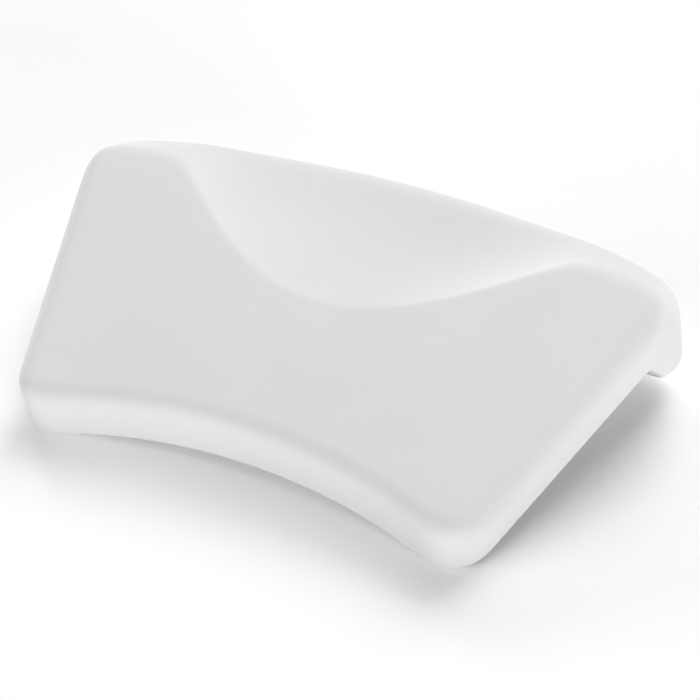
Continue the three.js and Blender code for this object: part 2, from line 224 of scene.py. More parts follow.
SEAT_RUN = Vector((cos(SEAT_ANGLE), -sin(SEAT_ANGLE)))
TIP_RUN = Vector((cos(TIP_ANGLE), -sin(TIP_ANGLE)))
print("moulding", TOP_WIDTH, "mm wide,", PANEL_THICKNESS, "mm thick")

# %% [markdown]
# ## Corners of one section
# A section is drawn in the panel's Y and Z. Its seven corners go from the heel, at the foot of the back,
# up the back to the notch, out along the seat to the arm's tip, over the ridge and the crease, and down
# the front to the toe. The share u goes from -1 to 1 across the width, which is first drawn in from the
# sides by a margin.

# %% Corners


def sunk(radius, past):
    """How far a quarter round has sunk where it is past its start."""
    past = min(max(past, 0.0), radius)
    return radius - sqrt(radius**2 - past**2)


def draw_back(share, width, radius):
    """How far a round corner has drawn back at a share of the half width."""
    return sunk(radius, abs(share) * width / 2 - (width / 2 - radius))


def half_width(height):
    """Half the pillow's width at a height up the panel."""
    share = min(max(height / PANEL_LENGTH, 0.0), 1.0)
    return (BOTTOM_WIDTH + (TOP_WIDTH - BOTTOM_WIDTH) * share) / 2


def scoop_dip(share):
    """How far the crease dips below the top edge."""
    dip = SCOOP_DEPTH * (1 - (abs(share) * TOP_WIDTH / SCOOP_WIDTH) ** SCOOP_FULLNESS)
    return (dip + hypot(dip, SCOOP_EASE)) / 2


def section_corners(u, margin):
    """The corners from the heel round to the toe, the scoop's share of its depth and the arch's rise."""
    low = u * (1 - 2 * margin / BOTTOM_WIDTH)
    high = u * (1 - 2 * margin / TOP_WIDTH)
    rise = 1 - high**2
    heel = BOTTOM_ARCH * (1 - low**2) + draw_back(low, BOTTOM_WIDTH, BOTTOM_CORNER)
    top_edge = PANEL_LENGTH + TOP_ARCH * rise - draw_back(high, TOP_WIDTH, TOP_CORNER)
    seat = SEAT_LENGTH + TIP_ARCH * rise - draw_back(high, TOP_WIDTH, ARM_CORNER)
    dip = scoop_dip(high)
    notch = Vector((NOTCH_HEIGHT, 0))
    seat_end = notch + seat * SEAT_RUN
    corners = {
        "heel": Vector((heel, 0)),
        "notch": notch,
        "seat_end": seat_end,
        "tip": seat_end + TIP_REACH * TIP_RUN + Vector((TIP_BACK_ARCH * rise, 0)),
        "ridge": Vector((top_edge + RIDGE_BACK + RIDGE_ARCH * rise,
                         PANEL_THICKNESS - RIDGE_DROP - RIDGE_DIP * rise)),
        "crease": Vector((top_edge - dip, PANEL_THICKNESS)),
        "toe": Vector((heel + BOTTOM_LEAN, PANEL_THICKNESS)),
    }
    return corners, dip / SCOOP_DEPTH, rise


corners, _, _ = section_corners(0, 0)
print("middle section:", {name: (round(at.x), round(at.y)) for name, at in corners.items()})

# %% [markdown]
# ## Arcs and runs
# Nothing on a moulding is sharp, so each corner becomes an arc, and a run of points joins one arc to the
# next. A Bevel modifier could round the corners later, but arcs in the section let every corner have its
# own radius. Where the sides of the section move inwards, a corner moves to where its two sides meet.

# %% Rounded corners and bowed runs
LEAST_ROUND = 1  # mm
ROUND_SHARE = 0.48  # how much of a side one arc may take up


def mitre(corner, before, after, depth_before, depth_after):
    """The corner where two sides meet after each has moved inwards by its own depth."""
    first = Vector((-before.y, before.x))
    second = Vector((-after.y, after.x))
    along = first.dot(second)
    shift = first * (depth_before - along * depth_after) + second * (depth_after - along * depth_before)
    return corner + shift / (1 - along**2)


def round_corner(before, corner, after, radius, steps):
    """Points of an arc that rounds a corner, limited by the sides that it joins."""
    back = (before - corner).normalized()
    on = (after - corner).normalized()
    room = ROUND_SHARE * min((before - corner).length, (after - corner).length)
    half = acos(min(max(back.dot(on), -1.0), 1.0)) / 2
    cut = min(radius / tan(half), room)
    centre = corner + (back + on).normalized() * (cut / cos(half))
    start = corner + back * cut - centre
    end = corner + on * cut - centre
    across = Vector((-start.y, start.x))
    swing = atan2(start.cross(end), start.dot(end))
    turns = [swing * i / steps for i in range(steps + 1)]
    return [centre + start * cos(turn) + across * sin(turn) for turn in turns]


def run(start, end, steps, rise=0.0):
    """Points between two ends, bowed to their left by rise."""
    left = Vector((start.y - end.y, end.x - start.x)).normalized()
    shares = [i / steps for i in range(1, steps)]
    return [start.lerp(end, share) + left * (4 * rise * share * (1 - share)) for share in shares]


print("a bowed run:", [tuple(point) for point in run(Vector((0, 0)), Vector((40, 0)), 4, FRONT_CROWN)])

# %% [markdown]
# ## Sunk sides
# Near the two ends each side of the section sinks along a quarter round, softly along the front and the
# top and more tightly along the back. That rounds the side faces' edges. A Bevel modifier would round them
# all alike.

# %% Arcs of a section
ROUNDS = {"heel": 4, "notch": 8, "seat_end": 8, "tip": 9, "ridge": 19, "crease": 18, "toe": 10}
# How round the side after each corner ends at the side face
END_ROUNDS = {"heel": 3, "notch": 3.5, "seat_end": 8, "tip": 8, "ridge": 13, "crease": 13, "toe": 5.5}
ARC_STEPS = {"heel": 6, "notch": 8, "seat_end": 6, "tip": 8, "ridge": 14, "crease": 10, "toe": 8}


def side_depths(u, margin, shrink):
    """How far the side after each corner has sunk."""
    from_end = margin + (1 - abs(u)) * TOP_WIDTH / 2
    return {name: shrink + sunk(radius, radius - from_end) for name, radius in END_ROUNDS.items()}


def round_section(corners, depth):
    """The arc at each corner, once every side has sunk by its own depth."""
    names = list(corners)
    count = len(names)
    at = [corners[name] for name in names]
    deep = [depth[name] for name in names]
    sides = [(at[(i + 1) % count] - at[i]).normalized() for i in range(count)]
    inner = [mitre(at[i], sides[i - 1], sides[i], deep[i - 1], deep[i]) for i in range(count)]
    arcs = {}
    for i, name in enumerate(names):
        mean = (deep[i - 1] + deep[i]) / 2
        radius = ROUNDS[name] + mean if name == "notch" else max(ROUNDS[name] - mean, LEAST_ROUND)
        arcs[name] = round_corner(inner[i - 1], inner[i], inner[(i + 1) % count], radius, ARC_STEPS[name])
    return arcs


middle_arcs = round_section(corners, side_depths(0, 0, 0))
print("points on the arcs:", {name: len(arc) for name, arc in middle_arcs.items()})

# %% [markdown]
# ## The whole section
# The runs between the arcs need enough steps to follow the crown of the front and the hollow of the scoop.
# Two points on the back mark where the skin, turned in over the back, ends in a lip. All sections have the
# same number of points, so that one can be extruded into the next.

# %% Section from heel to toe
LIP_STEPS = 3
BACK_STEPS = 30
SEAT_STEPS = 6
TIP_STEPS = 8
ARM_STEPS = 12
TOP_STEPS = 26
FRONT_STEPS = 34
BOTTOM_STEPS = 7
SKIN_RETURN = 12  # mm that the skin is turned in over the back


def lip_height(u, margin, heel):
    """Height up the back where the skin's turned-in lip ends, round a corner that shares its centre."""
    low = u * (1 - 2 * margin / BOTTOM_WIDTH)
    lip_width = BOTTOM_WIDTH - 2 * SKIN_RETURN
    share = min(abs(low) * BOTTOM_WIDTH / lip_width, 1.0)
    corner = draw_back(share, lip_width, BOTTOM_CORNER - SKIN_RETURN)
    return SKIN_RETURN + max(heel, BOTTOM_ARCH * (1 - low**2) + corner)


def section(u, margin, shrink=0.0):
    """All points of one section, and where the skin's lip starts and ends among them."""
    corners, scoop, rise = section_corners(u, margin)
    depth = side_depths(u, margin, shrink)
    arcs = round_section(corners, depth)
    low_lip = Vector((lip_height(u, margin, corners["heel"].x), depth["heel"]))
    into_arm = Vector((-SEAT_RUN.y, SEAT_RUN.x))
    high_lip = corners["seat_end"] - SKIN_RETURN * SEAT_RUN + depth["notch"] * into_arm
    points = arcs["heel"] + run(arcs["heel"][-1], low_lip, LIP_STEPS)
    lip_start = len(points)
    points += [low_lip] + run(low_lip, arcs["notch"][0], BACK_STEPS)
    points += arcs["notch"] + run(arcs["notch"][-1], high_lip, SEAT_STEPS)
    lip_end = len(points)
    points += [high_lip] + run(high_lip, arcs["seat_end"][0], LIP_STEPS)
    points += arcs["seat_end"] + run(arcs["seat_end"][-1], arcs["tip"][0], TIP_STEPS)
    points += arcs["tip"] + run(arcs["tip"][-1], arcs["ridge"][0], ARM_STEPS)
    points += arcs["ridge"] + run(arcs["ridge"][-1], arcs["crease"][0], TOP_STEPS, SCOOP_HOLLOW * scoop)
    points += arcs["crease"] + run(arcs["crease"][-1], arcs["toe"][0], FRONT_STEPS, -FRONT_CROWN * rise)
    points += arcs["toe"] + run(arcs["toe"][-1], arcs["heel"][0], BOTTOM_STEPS)
    return points, lip_start, lip_end


print("points round a section:", len(section(0, SKIN_RETURN)[0]))

# %% [markdown]
# ## Rings
# A circle of vertices is laid along the first section, and its edges are extruded from section to
# section, like a skin drawn over ribs. Bridging loose rings would do it too, but extruding keeps every
# ring in the same order. Between the two lips the sections stand evenly, and outside them they close up
# towards the rounded ends.

# %% Rings from end to end
MIDDLE_STEPS = 96
END_STEPS = 12
CAP_INSET = 1.5  # mm that the first and the last ring are drawn in on their side face


def stations():
    """Share of the width, margin and shrinking of every section, from the left end to the right."""
    turns = [pi / 2 * i / END_STEPS for i in range(1, END_STEPS + 1)]
    right = [(1, SKIN_RETURN * (1 - sin(turn)), 0.0) for turn in turns] + [(1, 0.0, CAP_INSET)]
    middle = [(2 * i / MIDDLE_STEPS - 1, SKIN_RETURN, 0.0) for i in range(MIDDLE_STEPS + 1)]
    return [(-1, *end[1:]) for end in reversed(right)] + middle + right


def lay(ring, u, margin, shrink):
    """Move a ring of vertices onto its section."""
    points, _, _ = section(u, margin, shrink)
    for vertex, point in zip(ring, points):
        vertex.co = (u * (half_width(point.x) - margin), point.x, point.y)


def extrude_ring(form, ring):
    """Extrude a closed ring of vertices and give the new ring in the same order."""
    edges = [form.edges.get((ring[i - 1], ring[i])) for i in range(len(ring))]
    made = set(bmesh.ops.extrude_edge_only(form, edges=edges)["geom"])
    return [next(e.other_vert(v) for e in v.link_edges if e.other_vert(v) in made) for v in ring]


print("rings:", len(stations()))

# %% [markdown]
# ## The loft
# The faces of the back, which the lining will cover, are known by their place among the rings, and get a
# mark. The side faces are closed like a ladder, with rungs from the back across to the front, because one
# big many-sided face would shade badly. Last, a few passes of smoothing melt the arcs into the faces, as
# on a real moulding, where no line shows where a round begins.

# %% Loft of the whole form
SKIN_MARK = 0
LINING_MARK = 1
SOFTENING = 5  # passes
SOFTENING_SHARE = 0.5  # how far each pass moves a vertex towards its neighbours
CUBIC_MM_PER_LITRE = 1e6


def mark_lining(form, grid, lip_start, lip_end):
    """Mark the faces of the back between the two lips."""
    first = len(grid) // 2 - MIDDLE_STEPS // 2
    for i in range(first, first + MIDDLE_STEPS):
        for j in range(lip_start, lip_end):
            corners = grid[i][j], grid[i][j + 1], grid[i + 1][j + 1], grid[i + 1][j]
            form.faces.get(corners).material_index = LINING_MARK


def close_end(form, ring, tip):
    """Close a side face with rungs between the two rails that meet at the tip and at the heel."""
    rails = [form.edges.get((ring[i], ring[(i + 1) % len(ring)])) for i in range(len(ring))]
    bmesh.ops.bridge_loops(form, edges=rails[:tip] + rails[tip + 1:-1])


def moulding_form():
    """The whole outside of the pillow, with the faces that the lining covers marked."""
    form = bmesh.new()
    places = stations()
    points, lip_start, lip_end = section(*places[0])
    ring = bmesh.ops.create_circle(form, segments=len(points), radius=1.0)["verts"]
    lay(ring, *places[0])
    grid = [ring]
    for place in places[1:]:
        ring = extrude_ring(form, ring)
        lay(ring, *place)
        grid.append(ring)
    mark_lining(form, grid, lip_start, lip_end)
    tip = lip_end + LIP_STEPS + ARC_STEPS["seat_end"] + TIP_STEPS + ARC_STEPS["tip"] // 2
    close_end(form, grid[0], tip)
    close_end(form, grid[-1], tip)
    bmesh.ops.recalc_face_normals(form, faces=form.faces)
    for _ in range(SOFTENING):
        bmesh.ops.smooth_vert(
            form, verts=form.verts, factor=SOFTENING_SHARE,
            use_axis_x=True, use_axis_y=True, use_axis_z=True)
    return form


moulding = moulding_form()
litres = moulding.calc_volume() / CUBIC_MM_PER_LITRE
print("moulding:", len(moulding.faces), "faces,", round(litres, 2), "litres")

# %% [markdown]
# ## From a form to a piece
# A form in the panel's millimetres becomes a piece in the frame's metres. It rides on the body that it
# moves with, and replaces the CAD nodes that it stands for. The pillow's own weight presses the lowest
# points flat on whatever it lies on. Rounding small edges is left to a live Bevel modifier, which comes
# after the wall has its thickness.

# %% Pieces and their edges
EDGE_STEPS = 3
EDGE_ANGLE = radians(50)


def press_flat(form):
    """Stop the form at the surface that it lies on."""
    for vertex in form.verts:
        vertex.co.z = max(vertex.co.z, 0.0)


def make_piece(form, name, body, slot, finish, *nodes):
    """Turn a form in the panel's millimetres into a piece that rides on a body and replaces CAD nodes."""
    bmesh.ops.transform(form, matrix=to_frame, verts=form.verts)
    press_flat(form)
    mesh = bpy.data.meshes.new(name)
    form.to_mesh(mesh)
    form.free()
    mesh.shade_smooth()
    mesh.materials.append(finish)
    piece = bpy.data.objects.new(name, mesh)
    bpy.context.scene.collection.objects.link(piece)
    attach(piece, body)
    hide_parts(*nodes)
    return piece


def round_edges(piece, width, limit):
    """Round a piece's edges with a live bevel, either the sharp ones or those with a bevel weight."""
    bevel = piece.modifiers.new("rounded_edges", "BEVEL")
    bevel.width = width * MM
    bevel.segments = EDGE_STEPS
    bevel.limit_method = limit
    bevel.angle_limit = EDGE_ANGLE


print("pieces scaled by", round(to_frame.to_scale().x, 4))

# %% [markdown]
# ## The skin
# The skin covers the front, the scoop, the edges and the outside of the arm, and is turned in over the
# back. The lining's faces are taken out of a copy of the form, and what is left gets its 2 mm wall from a
# Solidify modifier. That is simpler than modelling the inside as well, and gives an even wall. The open
# edge carries a bevel weight, so that only the lip's cut edge is rounded.

# %% Skin
SKIN = 2  # mm
LIP_EDGE = 0.6  # mm


def keep_marked(form, mark):
    """A copy of the form with only the faces that carry the mark."""
    part = form.copy()
    others = [face for face in part.faces if face.material_index != mark]
    bmesh.ops.delete(part, geom=others, context="FACES")
    for face in part.faces:
        face.material_index = 0
        face.smooth = True
    return part


def mark_lip(form):
    """Give the open edge of a form a bevel weight."""
    weight = form.edges.layers.float.new("bevel_weight_edge")
    for edge in form.edges:
        edge[weight] = float(edge.is_boundary)
    return form


skin_form = mark_lip(keep_marked(moulding, SKIN_MARK))
skin = make_piece(skin_form, "pillow_skin", "pillow", "skin", skin_finish, "front_skin")
wall = skin.modifiers.new("skin_wall", "SOLIDIFY")
wall.thickness = SKIN * MM
wall.offset = -1  # inwards
round_edges(skin, LIP_EDGE, "WEIGHT")
print("skin:", len(skin.data.polygons), "faces before its wall")

# %% [markdown]
# ## The lining's finish
# The lining is the same polyurethane, moulded against a pebbled plate so that it grips the bath. It shows
# low rounded pebbles, and the grooves between them are coloured darker as painted shade. Smooth Voronoi
# cells
# give just that: their distance is lowest in the middle of a pebble and highest in the groove, so it blends
# the plain white into the painted shade and, turned over, makes the relief.

# %% Pebbled polyurethane
LINING_WHITE = "#E8E8EA"
# painted shade: the darker colour given to the grooves between the pebbles
LINING_GROOVE_SHADE = "#DEDEE1"
LINING_ROUGHNESS = 0.62
PEBBLE = 1.6  # mm
PEBBLE_DEPTH = 0.08  # mm


def pebbled_polyurethane():
    material, tree, shader, place = start_finish("pebbled_polyurethane")
    pebbles = add_node(tree, "ShaderNodeTexVoronoi", {
        "Vector": place, "Scale": per_metre(PEBBLE)}, feature="SMOOTH_F1")
    # the Voronoi distance blends in the painted shade towards each groove
    tint = add_node(tree, "ShaderNodeMix", {
        "Factor": pebbles.outputs["Distance"],
        MIX_FIRST: linear(LINING_WHITE), MIX_SECOND: linear(LINING_GROOVE_SHADE)}, data_type="RGBA")
    bump = add_node(tree, "ShaderNodeBump", {
        "Height": pebbles.outputs["Distance"], "Distance": PEBBLE_DEPTH * MM, "Strength": 1.0}, invert=True)
    tree.links.new(tint.outputs[MIX_COLOUR], shader.inputs["Base Color"])
    tree.links.new(bump.outputs["Normal"], shader.inputs["Normal"])
    shader.inputs["Roughness"].default_value = LINING_ROUGHNESS
    shader.inputs["IOR"].default_value = POLYURETHANE_IOR
    return material


lining_finish = pebbled_polyurethane()
print("finish:", lining_finish.name)

# %% [markdown]
# ## Holes for the grommets
# Four round holes in the back let the grommets through. They could be built into the lining's mesh, but its
# faces follow the sections, which have no circles. So posts cut them out with a Boolean modifier, which is
# applied at once. The cutters are then gone from the scene.

# %% Posts that cut the holes
GAP = 0.3  # mm left between neighbouring pieces
LOWER_ROW = 75
UPPER_SPACING = 184
LOWER_SPACING = 104
NECK_RADIUS = 6.4
CUP_PLACES = [
    (-UPPER_SPACING / 2, UPPER_ROW), (UPPER_SPACING / 2, UPPER_ROW),
    (-LOWER_SPACING / 2, LOWER_ROW), (LOWER_SPACING / 2, LOWER_ROW)]
HOLE_STEPS = 48
HOLE_DEPTH = 12  # mm, well through the lining


def hole_cutters():
    """Round posts through the back where the grommets sit."""
    posts = bmesh.new()
    for x, height in CUP_PLACES:
        bmesh.ops.create_cone(
            posts, cap_ends=True, segments=HOLE_STEPS, radius1=NECK_RADIUS + GAP, radius2=NECK_RADIUS + GAP,
            depth=HOLE_DEPTH, matrix=Matrix.Translation((x, height, 0)))
    bmesh.ops.transform(posts, matrix=to_frame, verts=posts.verts)
    mesh = bpy.data.meshes.new("hole_cutters")
    posts.to_mesh(mesh)
    posts.free()
    cutters = bpy.data.objects.new("hole_cutters", mesh)
    bpy.context.scene.collection.objects.link(cutters)
    return cutters


def cut_through(piece, cutters):
    """Cut the holes for good, and take the cutters away."""
    cut = piece.modifiers.new("holes", "BOOLEAN")
    cut.object = cutters
    cut.solver = "EXACT"
    shape = piece.evaluated_get(bpy.context.evaluated_depsgraph_get())
    mesh = bpy.data.meshes.new_from_object(shape)
    piece.modifiers.clear()
    piece.data = mesh
    bpy.data.objects.remove(cutters)


print("holes at", CUP_PLACES)

# %% [markdown]
# ## The lining
# The lining closes the back of the panel and the seat under the arm. Its form is the part of the moulding
# that the skin left out, so the two always fit. It is drawn in a little, which leaves a fine seam between
# the two, and gets the same wall as the skin.

# %% Lining
LINING_EDGE = 0.5  # mm

sheet = keep_marked(moulding, LINING_MARK)
seam = bmesh.ops.inset_region(sheet, faces=sheet.faces, thickness=GAP, use_even_offset=True)["faces"]
bmesh.ops.delete(sheet, geom=seam, context="FACES")
bmesh.ops.solidify(sheet, geom=sheet.faces, thickness=SKIN)
bmesh.ops.recalc_face_normals(sheet, faces=sheet.faces)
lining = make_piece(sheet, "back_lining", "pillow", "lining", lining_finish, "back_skin")
cut_through(lining, hole_cutters())
round_edges(lining, LINING_EDGE, "ANGLE")
print("lining:", len(lining.data.polygons), "faces, box", [round(v, 4) for v in lining.dimensions])

# %% [markdown]
# ## The foam's finish
# The filling is open-cell polyurethane foam: cream, quite matt, and full of small pores.
# Voronoi cells give the pores, with painted shade in the middle of each, where the pore sinks in. They are
# under a millimetre wide in the real foam, and are drawn at 1.2 mm so that they show.

# %% Open-cell foam
FOAM_CREAM = "#F3EFE2"
# painted shade: the darker colour given to the middle of each pore
FOAM_PORE_SHADE = "#DDD5BF"
FOAM_ROUGHNESS = 0.95
PORE = 1.2  # mm
PORE_DEPTH = 0.3  # mm


def open_cell_foam():
    material, tree, shader, place = start_finish("open_cell_foam")
    pores = add_node(tree, "ShaderNodeTexVoronoi", {"Vector": place, "Scale": per_metre(PORE)})
    # the painted shade is strongest in the middle of each pore and fades to cream at its edge
    tint = add_node(tree, "ShaderNodeMix", {
        "Factor": pores.outputs["Distance"],
        MIX_FIRST: linear(FOAM_PORE_SHADE), MIX_SECOND: linear(FOAM_CREAM)}, data_type="RGBA")
    bump = add_node(tree, "ShaderNodeBump", {
        "Height": pores.outputs["Distance"], "Distance": PORE_DEPTH * MM, "Strength": 1.0})
    tree.links.new(tint.outputs[MIX_COLOUR], shader.inputs["Base Color"])
    tree.links.new(bump.outputs["Normal"], shader.inputs["Normal"])
    shader.inputs["Roughness"].default_value = FOAM_ROUGHNESS
    return material


foam_finish = open_cell_foam()
print("finish:", foam_finish.name)

# %% [markdown]
# ## The foam
# Nobody sees the filling, but it is there when the pillow is opened. It could be lofted like the skin, but
# the solid already has the pockets for the plate and the grommets. So a copy of the solid has its loose
# triangles merged, is remeshed evenly, and is softened, as foam has no sharp edges.

# %% Foam filling
FOAM_WELD = 0.01  # mm
FOAM_VOXEL = 3.0  # mm
FOAM_SOFTENING = 3  # passes

foam_form = bmesh.new()
foam_form.from_mesh(frame["nodes"]["foam_core"].data)
bmesh.ops.remove_doubles(foam_form, verts=foam_form.verts, dist=FOAM_WELD * MM)
bmesh.ops.transform(foam_form, matrix=to_frame.inverted(), verts=foam_form.verts)
foam = make_piece(foam_form, "foam_filling", "pillow", "foam", foam_finish, "foam_core")
even = foam.modifiers.new("even_surface", "REMESH")
even.mode = "VOXEL"
even.voxel_size = FOAM_VOXEL * MM
even.use_smooth_shade = True
soft = foam.modifiers.new("softened", "SMOOTH")
soft.iterations = FOAM_SOFTENING
print("foam:", [round(v, 4) for v in foam.dimensions])

# %% [markdown]
# ## The stiffener plate
# The bent plate behind the foam is a plain injection moulding of polypropylene, and its solid is already
# right, so it keeps its own mesh. Its finish is a little waxy, with the fine texture of its mould. The
# texture is about 0.2 mm wide on such a plate, and is drawn at 0.8 mm so that it shows.

# %% Moulded polypropylene
PLATE_GREY = "#CFD3D6"
PLATE_SHADE = "#C6CACD"
PLATE_ROUGHNESS = 0.5
POLYPROPYLENE_IOR = 1.49
PLATE_TEXTURE = 0.8  # mm
PLATE_TEXTURE_DEPTH = 0.02  # mm


def moulded_polypropylene():
    material, tree, shader, place = start_finish("moulded_polypropylene")
    texture = add_node(tree, "ShaderNodeTexNoise", {
        "Vector": place, "Scale": per_metre(PLATE_TEXTURE), "Detail": 2.0})
    tint = add_node(tree, "ShaderNodeMix", {
        "Factor": texture.outputs["Fac"],
        MIX_FIRST: linear(PLATE_GREY), MIX_SECOND: linear(PLATE_SHADE)}, data_type="RGBA")
    bump = add_node(tree, "ShaderNodeBump", {
        "Height": texture.outputs["Fac"], "Distance": PLATE_TEXTURE_DEPTH * MM, "Strength": 1.0})
    tree.links.new(tint.outputs[MIX_COLOUR], shader.inputs["Base Color"])
    tree.links.new(bump.outputs["Normal"], shader.inputs["Normal"])
    shader.inputs["Roughness"].default_value = PLATE_ROUGHNESS
    shader.inputs["IOR"].default_value = POLYPROPYLENE_IOR
    return material


plate = frame["nodes"]["stiffener_plate"]
plate.data.materials.clear()
plate.data.materials.append(moulded_polypropylene())
print("plate:", len(plate.data.polygons), "triangles")

# %% [markdown]
# ## The grommets' finish
# The grommets are grey moulded rubber: dull, with a pale bloom in patches and the fine grain of the mould.
# Two noise patterns of different size give the patches and the grain. The grain is finer than 0.2 mm on
# real rubber, and is drawn at 0.5 mm so that it shows.

# %% Grey rubber
RUBBER_GREY = "#B9BEC2"
RUBBER_BLOOM = "#C4C8CB"
RUBBER_ROUGHNESS = 0.7
RUBBER_IOR = 1.52
BLOOM_SIZE = 4  # mm
RUBBER_GRAIN = 0.5  # mm
RUBBER_GRAIN_DEPTH = 0.015  # mm


def grey_rubber():
    material, tree, shader, place = start_finish("moulded_grey_rubber")
    bloom = add_node(tree, "ShaderNodeTexNoise", {
        "Vector": place, "Scale": per_metre(BLOOM_SIZE), "Detail": 3.0})
    tint = add_node(tree, "ShaderNodeMix", {
        "Factor": bloom.outputs["Fac"],
        MIX_FIRST: linear(RUBBER_GREY), MIX_SECOND: linear(RUBBER_BLOOM)}, data_type="RGBA")
    grain = add_node(tree, "ShaderNodeTexNoise", {"Vector": place, "Scale": per_metre(RUBBER_GRAIN)})
    bump = add_node(tree, "ShaderNodeBump", {
        "Height": grain.outputs["Fac"], "Distance": RUBBER_GRAIN_DEPTH * MM, "Strength": 1.0})
    tree.links.new(tint.outputs[MIX_COLOUR], shader.inputs["Base Color"])
    tree.links.new(bump.outputs["Normal"], shader.inputs["Normal"])
    shader.inputs["Roughness"].default_value = RUBBER_ROUGHNESS
    shader.inputs["IOR"].default_value = RUBBER_IOR
    return material


rubber_finish = grey_rubber()
print("finish:", rubber_finish.name)

# %% [markdown]
# ## Spun pieces
# The grommets and the cups are both round, so one profile of radius and height, spun about its axis, makes
# each of them. Rings and discs joined by hand could do it too, but a profile is how a maker draws them.
# The sharp edges are then bevelled, as moulded rubber and vinyl have none.

# %% Spin a profile and set it in the back
SPIN_STEPS = 72
SPIN_WELD = 0.001  # mm
SHARP = radians(25)


def spin_profile(profile, closed, edge):
    """Spin a profile of radius and height about the axis, and round its sharp edges."""
    form = bmesh.new()
    verts = [form.verts.new((radius, 0, height)) for radius, height in profile]
    pairs = list(zip(verts, verts[1:])) + ([(verts[-1], verts[0])] if closed else [])
    edges = [form.edges.new(pair) for pair in pairs]
    bmesh.ops.spin(
        form, geom=verts + edges, cent=(0, 0, 0), axis=(0, 0, 1), angle=2 * pi, steps=SPIN_STEPS,
        use_merge=True)
    bmesh.ops.remove_doubles(form, verts=form.verts, dist=SPIN_WELD)
    bmesh.ops.recalc_face_normals(form, faces=form.faces)
    sharp = [e for e in form.edges if e.is_manifold and e.calc_face_angle() > SHARP]
    bmesh.ops.bevel(
        form, geom=sharp, offset=edge, offset_type="OFFSET", affect="EDGES", segments=EDGE_STEPS,
        profile=0.5, material=-1, clamp_overlap=True)
    bmesh.ops.recalc_face_normals(form, faces=form.faces)
    return form


def set_in_back(form, x, height):
    """Turn a spun form to stand out of the panel's back at a place on it."""
    seat = Matrix.Translation((x, height, 0)) @ Matrix.Rotation(pi, 4, "X")
    bmesh.ops.transform(form, matrix=seat, verts=form.verts)
    return form


print("one spin step is", 360 / SPIN_STEPS, "degrees")

# %% [markdown]
# ## The grommets
# A grommet sits in each hole, like a cable grommet: a neck with a flange on either side, which holds the
# lining and the plate behind it together. The profile is closed, because the bore goes right through.

# %% Grommets
BORE_RADIUS = 4
FLANGE_RADIUS = 11
FLANGE_NEAR = 5.6  # how deep under the back the inner flange begins
FLANGE_THICKNESS = 1.8
RUBBER_EDGE = 0.45  # mm


def grommet_form():
    """A neck with a bore, between two flanges."""
    outside = GAP + FLANGE_THICKNESS
    inside = -FLANGE_NEAR - FLANGE_THICKNESS
    return spin_profile([
        (BORE_RADIUS, inside), (FLANGE_RADIUS, inside), (FLANGE_RADIUS, -FLANGE_NEAR),
        (NECK_RADIUS, -FLANGE_NEAR), (NECK_RADIUS, GAP), (FLANGE_RADIUS, GAP),
        (FLANGE_RADIUS, outside), (BORE_RADIUS, outside)], True, RUBBER_EDGE)


for i, place in enumerate(CUP_PLACES, 1):
    form = set_in_back(grommet_form(), *place)
    grommet = make_piece(form, f"grommet_{i}", "pillow", "grommet", rubber_finish, f"cup_grommet_{i}")
print("grommets:", len(CUP_PLACES), "with", len(grommet.data.polygons), "faces each")

# %% [markdown]
# ## The cups' finish
# The cups are soft vinyl, clear with a faint blue cast, and their polished mould leaves them glossy. A
# glass shader would be too clear, so the plain shader lets most of the light through and keeps a little
# of it. Where the vinyl flowed in the mould, its gloss varies slightly.

# %% Clear vinyl
VINYL_TINT = "#E3EDF1"
VINYL_ROUGHNESS = (0.05, 0.12)
VINYL_IOR = 1.53
VINYL_CLEARNESS = 0.85
VINYL_FLOW = 6  # mm


def clear_vinyl():
    material, tree, shader, place = start_finish("clear_moulded_vinyl")
    flow = add_node(tree, "ShaderNodeTexNoise", {
        "Vector": place, "Scale": per_metre(VINYL_FLOW), "Detail": 1.0})
    gloss = add_node(tree, "ShaderNodeMapRange", {
        "Value": flow.outputs["Fac"], "To Min": VINYL_ROUGHNESS[0], "To Max": VINYL_ROUGHNESS[1]})
    tree.links.new(gloss.outputs["Result"], shader.inputs["Roughness"])
    shader.inputs["Base Color"].default_value = linear(VINYL_TINT)
    shader.inputs["IOR"].default_value = VINYL_IOR
    shader.inputs["Transmission Weight"].default_value = VINYL_CLEARNESS
    return material


vinyl_finish = clear_vinyl()
print("finish:", vinyl_finish.name)

# %% [markdown]
# ## The suction cups
# Each cup is moulded in one piece: a ribbed stud that pushes into the grommet, a hub, and a thin skirt that
# ends in a flat lip. It is spun like the grommets, but its profile is open and begins and ends on the axis,
# because the cup has no bore. Each rides on a body of its own, because the cups pull out one by one.

# %% Cups
CUP_RADIUS = 14
CUP_DEPTH = 5
CUP_WALL = 1.4
CUP_LIP = 1.8
CUP_DOME = 0.5  # how far the skirt bulges between hub and lip
HUB_RADIUS = 6
STUD_LENGTH = 5.5
STUD_RIB = 0.5
VINYL_EDGE = 0.25  # mm


def cup_form():
    """A ribbed stud, a hub and a skirt that ends in a flat lip."""
    hub = GAP + FLANGE_THICKNESS + GAP
    rim = hub + CUP_DEPTH
    foot = hub - STUD_LENGTH
    rib = BORE_RADIUS - GAP
    stem = rib - STUD_RIB
    step = STUD_LENGTH / 4
    middle = (HUB_RADIUS + CUP_WALL + CUP_RADIUS) / 2
    half_way = (hub + rim) / 2
    return spin_profile([
        (0, foot), (stem, foot), (rib, foot + step), (stem, foot + 2 * step), (rib, foot + 3 * step),
        (stem, hub), (HUB_RADIUS, hub), (HUB_RADIUS + CUP_WALL, hub + CUP_WALL),
        (middle, half_way - CUP_DOME + CUP_WALL / 4), (CUP_RADIUS, rim - CUP_WALL / 2), (CUP_RADIUS, rim),
        (CUP_RADIUS - CUP_LIP, rim), (middle - CUP_WALL, half_way + CUP_WALL / 2),
        (HUB_RADIUS, hub + 2 * CUP_WALL), (0, hub + CUP_WALL)], False, VINYL_EDGE)


